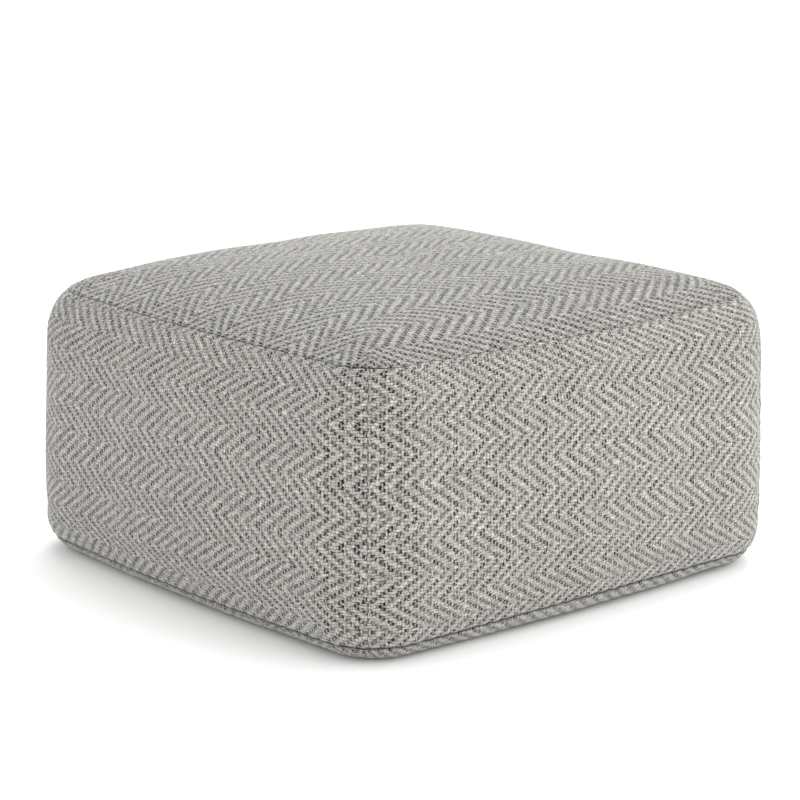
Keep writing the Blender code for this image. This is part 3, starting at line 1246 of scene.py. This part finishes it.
@dataclass
class FillingPressure:
    """The loose filling, pressed against the cloth by a cloth simulation on a coarse copy."""

    pressure: float = 4.0
    last_frame: int = 20
    quality: int = 6            # the simulation's steps in each frame
    cell: float = 0.012         # width of the coarse copy's cells
    swell_limit: float = 0.0018     # the most that the filling may move the cloth

    def swells(self, panels: list[ClothPanel]) -> dict[str, np.ndarray]:
        """Swell coarse copies of the panels, their seams held, and read how far they moved.

        Args:
            panels: The panels that the filling presses on.

        Returns:
            For each node's name, a grid of moves. A move of length d is shortened to
            limit x tanh(d / limit).
        """
        grids, vertices, faces, held, start = {}, [], [], [], 0
        for panel in panels:
            length, width = panel.lengths()
            columns, rows = round(length / self.cell) + 1, round(width / self.cell) + 1
            points = panel.drawn_in(np.linspace(0, 1, columns), np.linspace(0, 1, rows))
            inner = start + rows * columns
            index = np.arange(start, inner).reshape(rows, columns)
            rim = rim_of(index)
            vertices += [points.reshape(-1, 3), panel.inner_point()[None]]
            faces += grid_quads(index).tolist() + fan(rim[::-1], inner).tolist()
            held += rim.tolist() + [inner]
            grids[panel.node] = index
            start = inner + 1
        rest = np.concatenate(vertices)
        moves = self.pressed(rest, faces, held) - rest
        length = np.maximum(np.linalg.norm(moves, axis=1, keepdims=True), TINY)
        LOG.info("filling: moves up to %.1f mm before the limit", MILLIMETRES * length.max())
        moves *= self.swell_limit * np.tanh(length / self.swell_limit) / length
        return {node: moves[index] for node, index in grids.items()}

    def pressed(self, rest: np.ndarray, faces: list[list[int]], held: list[int]) -> np.ndarray:
        """Run the cloth simulation on a mesh that is then removed.

        Args:
            rest: The mesh's points.
            faces: The vertices of each face.
            held: The vertices that stay where they are.

        Returns:
            Where the points end up.
        """
        scene = bpy.context.scene
        mesh = bpy.data.meshes.new("filling")
        mesh.from_pydata(rest.tolist(), [], faces)
        filling = bpy.data.objects.new("filling", mesh)
        scene.collection.objects.link(filling)
        filling.vertex_groups.new(name="seams").add(held, 1.0, "REPLACE")
        cloth = filling.modifiers.new("cloth", "CLOTH")
        cloth.settings.vertex_group_mass = "seams"
        cloth.settings.use_pressure = True
        cloth.settings.uniform_pressure_force = self.pressure
        cloth.settings.effector_weights.gravity = 0.0
        cloth.settings.quality = self.quality
        cloth.point_cache.frame_start, cloth.point_cache.frame_end = 1, self.last_frame
        for step in range(1, self.last_frame + 1):
            scene.frame_set(step)
        swollen = filling.evaluated_get(bpy.context.evaluated_depsgraph_get()).data
        ends = np.empty(len(rest) * 3, np.float32)
        swollen.vertices.foreach_get("co", ends)
        bpy.data.objects.remove(filling, do_unlink=True)
        scene.frame_set(1)
        return ends.reshape(-1, 3)


@dataclass(frozen=True)
class Backdrop:
    """A plain white floor without gloss, like a studio's paper sweep."""

    size: float = 40.0
    colour: str = "#FFFFFF"
    roughness: float = 1.0
    gap: float = 0.0002

    def build(self) -> None:
        """Lay the floor a hair under the pouf."""
        half = self.size / 2
        plan = ((-half, -half), (half, -half), (half, half), (-half, half))
        mesh = bpy.data.meshes.new("floor")
        mesh.from_pydata([(x, y, -self.gap) for x, y in plan], [], [(0, 1, 2, 3)])
        # Matt white paper: it takes the soft shadow and gives back no highlight.
        material = bpy.data.materials.new("white_studio_paper")
        material.use_nodes = True
        shader = material.node_tree.nodes["Principled BSDF"]
        shader.inputs["Base Color"].default_value = linear_colour(self.colour)
        shader.inputs["Roughness"].default_value = self.roughness
        shader.inputs["Specular IOR Level"].default_value = 0.0
        mesh.materials.append(material)
        floor = bpy.data.objects.new("floor", mesh)
        bpy.context.scene.collection.objects.link(floor)


class LightKind(Enum):
    """The kinds of light in the studio, by their type names."""

    LAMP = "SUN"
    SOFT_BOX = "AREA"


@dataclass(frozen=True)
class StudioLight:
    """A white light that hangs in one direction from the pouf, aimed at its foot."""

    name: str
    kind: LightKind
    strength: float         # a lamp's watts for each square metre that it lights, or a soft box's watts
    breadth: float          # how many degrees a lamp spans, or how many metres a soft box measures
    azimuth: float          # in degrees, 0 at the front and 90 at the right
    elevation: float        # in degrees
    distance: float

    def hang(self) -> None:
        """Make the light and hang it in its place."""
        light = bpy.data.lights.new(self.name, self.kind.value)
        light.energy = self.strength
        if self.kind is LightKind.LAMP:
            light.angle = math.radians(self.breadth)
        else:
            light.size = self.breadth
        holder = bpy.data.objects.new(self.name, light)
        towards = direction_from(self.azimuth, self.elevation)
        holder.location = towards * self.distance
        holder.rotation_euler = towards.to_track_quat("Z", "Y").to_euler()
        bpy.context.scene.collection.objects.link(holder)


@dataclass(frozen=True)
class Studio:
    """White light all round, a broad lamp high behind, a soft box at the right and a weak one in front."""

    sky_strength: float = 1.0
    lights: tuple[StudioLight, ...] = (
        StudioLight("lamp", LightKind.LAMP, 1.3, 45, azimuth=222, elevation=58, distance=3.0),
        StudioLight("soft_box", LightKind.SOFT_BOX, 25.0, 2.6, azimuth=122, elevation=31, distance=2.2),
        StudioLight("fill", LightKind.SOFT_BOX, 6.8, 1.6, azimuth=28, elevation=10, distance=2.0),
    )

    def build(self) -> None:
        """Set the world's light and hang the others."""
        scene = bpy.context.scene
        scene.world = bpy.data.worlds.new("studio")
        scene.world.use_nodes = True
        background = scene.world.node_tree.nodes["Background"]
        background.inputs["Color"].default_value = (1.0, 1.0, 1.0, 1.0)
        background.inputs["Strength"].default_value = self.sky_strength
        for light in self.lights:
            light.hang()
        scene.view_settings.view_transform = "Standard"


@dataclass(frozen=True)
class PhotoCamera:
    """The camera at the photograph's viewing angle and distance."""

    azimuth: float = 49.485         # in degrees, 0 at the front and 90 at the right
    elevation: float = 14.10        # in degrees
    distance: float = 2.949
    aim_height: float = 0.152
    lens: float = 120.9             # in millimetres, as is the sensor's width
    sensor_width: float = 36.0
    shift_x: float = 0.0008
    shift_y: float = 0.0228
    nearest: float = 0.05
    furthest: float = 100.0

    def build(self) -> None:
        """Put the camera in place and make it the scene's own."""
        camera = bpy.data.cameras.new("camera")
        camera.sensor_width = self.sensor_width
        camera.lens = self.lens
        camera.shift_x, camera.shift_y = self.shift_x, self.shift_y
        camera.clip_start, camera.clip_end = self.nearest, self.furthest
        holder = bpy.data.objects.new("camera", camera)
        back = direction_from(self.azimuth, self.elevation)
        holder.location = Vector((0.0, 0.0, self.aim_height)) + back * self.distance
        holder.rotation_euler = back.to_track_quat("Z", "Y").to_euler()
        bpy.context.scene.collection.objects.link(holder)
        bpy.context.scene.camera = holder


def direction_from(azimuth: float, elevation: float) -> Vector:
    """Unit vector from the pouf towards an azimuth, 0 at -Y, and an elevation, in degrees."""
    turn, tilt = math.radians(azimuth), math.radians(elevation)
    return Vector((math.sin(turn) * math.cos(tilt), -math.cos(turn) * math.cos(tilt), math.sin(tilt)))


def main() -> None:
    """Build the camera, the six panels and the studio, and report each piece."""
    PhotoCamera().build()
    form = StuffedForm.from_frame()
    cloth = HerringboneCloth()
    # The top and the underside are cut where the yarns lie a little further apart.
    # The top takes more light, so its yarns are painted darker and its pits' shade stronger than the sides':
    # painted shade.
    shade_painted_top_cloth = HerringboneCloth(
        light_pitch=0.00329, grey_pitch=0.00435,
        light_colour="#A09E98", grey_colour="#95938D", shaded_thin_colour="#898781", pit_shade_strength=1.0,
    )
    base_cloth = HerringboneCloth(light_pitch=0.00329, grey_pitch=0.00435)
    sides: list[ClothPanel] = [
        SidePanel(node="side_panel_" + facing.name.lower(), form=form, cloth=cloth, facing=facing)
        for facing in Facing
    ]
    top = TopPanel(node="top_panel", form=form, cloth=shade_painted_top_cloth)
    base = BasePanel(node="base_panel", form=form, cloth=base_cloth)
    swells = FillingPressure().swells([top, *sides])
    materials = {kind: kind.material() for kind in (shade_painted_top_cloth, base_cloth, cloth)}
    for panel in [top, base, *sides]:
        piece = panel.build(swells.get(panel.node), materials[panel.cloth])
        LOG.info("%s: %d faces", piece.name, len(piece.data.polygons))
    Backdrop().build()
    Studio().build()


if __name__ == "__main__":
    logging.basicConfig(level=logging.INFO, format="%(message)s")
    main()
